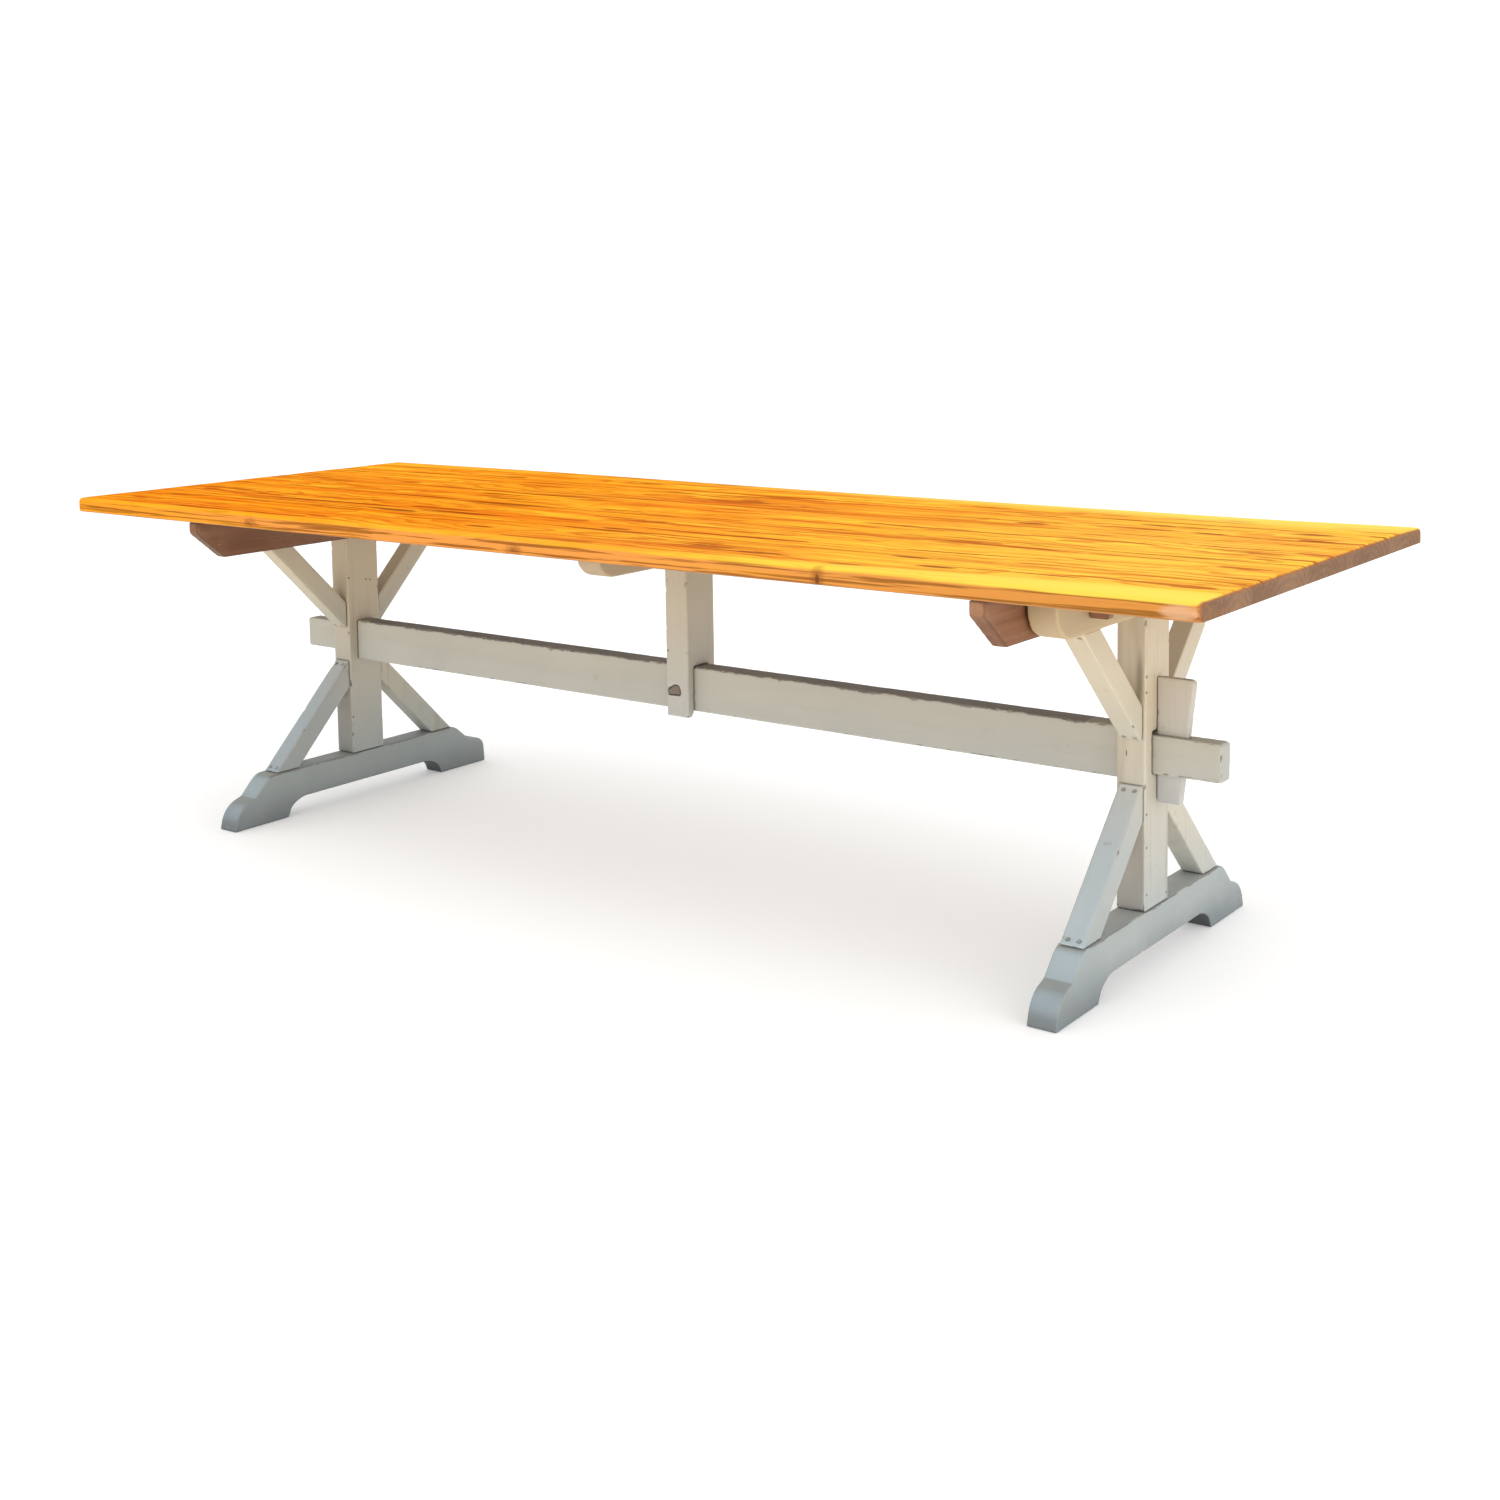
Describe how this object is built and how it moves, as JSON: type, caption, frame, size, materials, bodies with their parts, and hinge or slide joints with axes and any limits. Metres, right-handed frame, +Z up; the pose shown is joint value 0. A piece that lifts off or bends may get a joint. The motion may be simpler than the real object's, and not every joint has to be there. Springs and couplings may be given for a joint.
{
  "type": "sawbuck table",
  "caption": "Long knock-down sawbuck table: varnished plank top on painted braced trestles with ogee feet, a wedged through-tenon stretcher and a forked centre post.",
  "frame": {"origin": "on the floor, under the middle of the top", "axes": "+X along the table towards the trestle with the long visible wedge, +Y towards the back, +Z up"},
  "size_m": [2.794, 1.016, 0.762],
  "materials": {
    "varnished_pine": "amber varnish, satin",
    "painted_wood": "worn off-white paint, matte",
    "stained_wood": "dark brown stain, matte",
    "bare_wood": "bare weathered end grain",
    "iron": "rusted"
  },
  "bodies": {
    "base": {"left_foot": "painted_wood", "left_post": "painted_wood", "left_bolster": "painted_wood", "left_front_upper_brace": "painted_wood", "left_rear_upper_brace": "painted_wood", "left_front_lower_brace": "painted_wood", "left_rear_lower_brace": "painted_wood", "left_brace_nails": "iron", "right_foot": "painted_wood", "right_post": "painted_wood", "right_bolster": "painted_wood", "right_front_upper_brace": "painted_wood", "right_rear_upper_brace": "painted_wood", "right_front_lower_brace": "painted_wood", "right_rear_lower_brace": "painted_wood", "right_brace_nails": "iron", "stretcher": "painted_wood", "centre_post": "painted_wood", "centre_bolster": "painted_wood"},
    "top": {"top_plank_1": "varnished_pine", "top_plank_2": "varnished_pine", "top_plank_3": "varnished_pine", "top_plank_4": "varnished_pine", "top_plank_5": "varnished_pine", "left_cleat": "stained_wood", "left_front_keeper": "stained_wood", "left_rear_keeper": "stained_wood", "right_cleat": "stained_wood", "right_front_keeper": "stained_wood", "right_rear_keeper": "stained_wood", "cleat_nails": "iron", "keeper_nails": "iron"},
    "left_wedge": {"left_wedge": "painted_wood"},
    "right_wedge": {"right_wedge": "painted_wood"},
    "centre_peg": {"centre_peg": "bare_wood"}
  },
  "joints": [
    {"name": "top_lift", "type": "slide", "parent": "base", "child": "top", "axis": [0, 0, 1], "range_m": [0, 0.25]},
    {"name": "left_wedge_drive", "type": "slide", "parent": "base", "child": "left_wedge", "axis": [0, 0, 1], "range_m": [0, 0.09]},
    {"name": "right_wedge_drive", "type": "slide", "parent": "base", "child": "right_wedge", "axis": [0, 0, 1], "range_m": [0, 0.13]},
    {"name": "peg_drive", "type": "slide", "parent": "base", "child": "centre_peg", "axis": [0, -1, 0], "range_m": [0, 0.11]}
  ]
}
